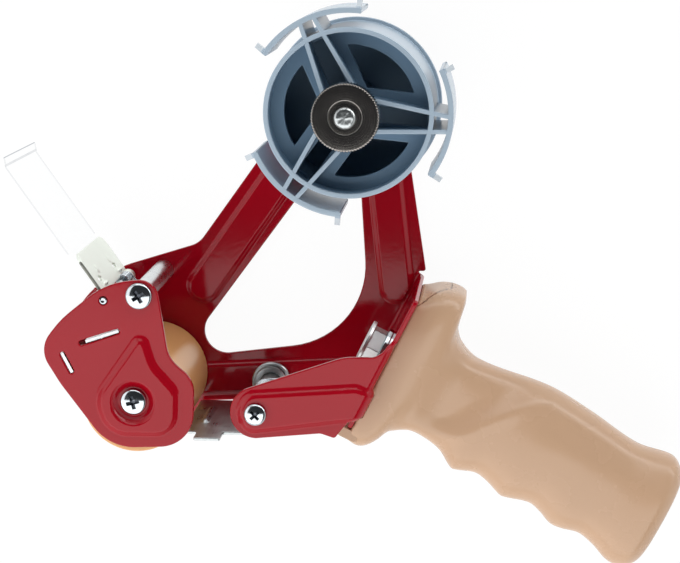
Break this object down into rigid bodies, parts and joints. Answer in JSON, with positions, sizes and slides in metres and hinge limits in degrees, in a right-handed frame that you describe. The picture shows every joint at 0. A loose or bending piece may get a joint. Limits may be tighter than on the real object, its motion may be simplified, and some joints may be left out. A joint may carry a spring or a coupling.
{
  "type": "handheld tape dispenser",
  "caption": "Handheld packing-tape dispenser with a ribbed steel frame, spring-finger tape hub and brake nut, rubber roller, cutter, wiper flap and moulded pistol grip.",
  "frame": {"origin": "hub axis on the outer face of the far side plate, the face the dispenser lies on", "axes": "+X from the roller end towards the grip, +Y from the grip up to the hub, +Z out of the far plate along the hub axis"},
  "size_m": [0.253, 0.2159, 0.0659],
  "materials": {
    "red_enamel": "glossy red enamel on pressed steel",
    "zinc": "bright zinc plate with soft grain",
    "dark_steel": "turned, lightly oiled steel",
    "hub_blue": "semi-gloss blue-grey moulding",
    "grip_beige": "satin beige moulding",
    "roller_tan": "smooth tan rubber",
    "clear_film": "clear flexible sheet",
    "fibre": "pressed fibre",
    "bronze": "sintered bronze",
    "nylon": "natural nylon"
  },
  "bodies": {
    "frame": {"main_frame": "red_enamel", "front_side_plate": "red_enamel", "handle_grip": "grip_beige", "handle_bolt": "zinc", "handle_washer": "zinc", "handle_insert": "bronze", "hub_spindle": "zinc", "roller_axle": "zinc", "roller_screw": "zinc", "roller_washers": "nylon", "upper_tie_rod": "zinc", "upper_screw": "zinc", "rear_cross_pin": "zinc", "rear_pin_collar": "zinc", "arm_screw": "zinc", "flap_pin": "zinc", "blade_holder": "zinc", "cutter_blade": "dark_steel", "blade_rivets": "zinc", "brake_spring": "zinc", "flap_spring": "zinc", "retainer_spring": "zinc"},
    "hub": {"tape_hub": "hub_blue", "hub_bush": "bronze", "friction_washer": "fibre", "pressure_washer": "dark_steel"},
    "brake_slide": {"thrust_washer": "dark_steel"},
    "brake_knob": {"brake_nut": "dark_steel"},
    "roller": {"roller_tyre": "roller_tan", "roller_core": "nylon", "roller_bushes": "bronze"},
    "flap": {"flap_bracket": "zinc", "wiper_flap": "clear_film", "flap_rivets": "zinc"},
    "retainer": {"tape_retainer": "zinc"}
  },
  "joints": [
    {"name": "hub_spin", "type": "hinge", "parent": "frame", "child": "hub", "pos_m": [0, 0, 0.027], "axis": [0, 0, 1], "continuous": true},
    {"name": "brake_travel", "type": "slide", "parent": "frame", "child": "brake_slide", "axis": [0, 0, 1], "range_m": [-0.00187, 0.0025], "deforming": ["brake_spring"]},
    {"name": "brake_turn", "type": "hinge", "parent": "brake_slide", "child": "brake_knob", "pos_m": [0, 0, 0.06], "axis": [0, 0, 1], "range_deg": [-540, 720]},
    {"name": "roller_spin", "type": "hinge", "parent": "frame", "child": "roller", "pos_m": [-0.08, -0.108, 0.027], "axis": [0, 0, 1], "continuous": true},
    {"name": "flap_swing", "type": "hinge", "parent": "frame", "child": "flap", "pos_m": [-0.0905, -0.0695, 0.0275], "axis": [0, 0, -1], "range_deg": [0, 45], "stiffness_Nm_per_rad": 0.05, "springref_deg": -17.19, "deforming": ["flap_spring"]},
    {"name": "retainer_swing", "type": "hinge", "parent": "frame", "child": "retainer", "pos_m": [-0.03385, -0.1112, 0.0275], "axis": [0, 0, 1], "range_deg": [0, 15], "stiffness_Nm_per_rad": 0.05, "springref_deg": -17.19, "deforming": ["retainer_spring"]}
  ],
  "couplings": [
    {"joint": "brake_turn", "follows": "brake_travel", "rad_per_m": 5026.5}
  ]
}
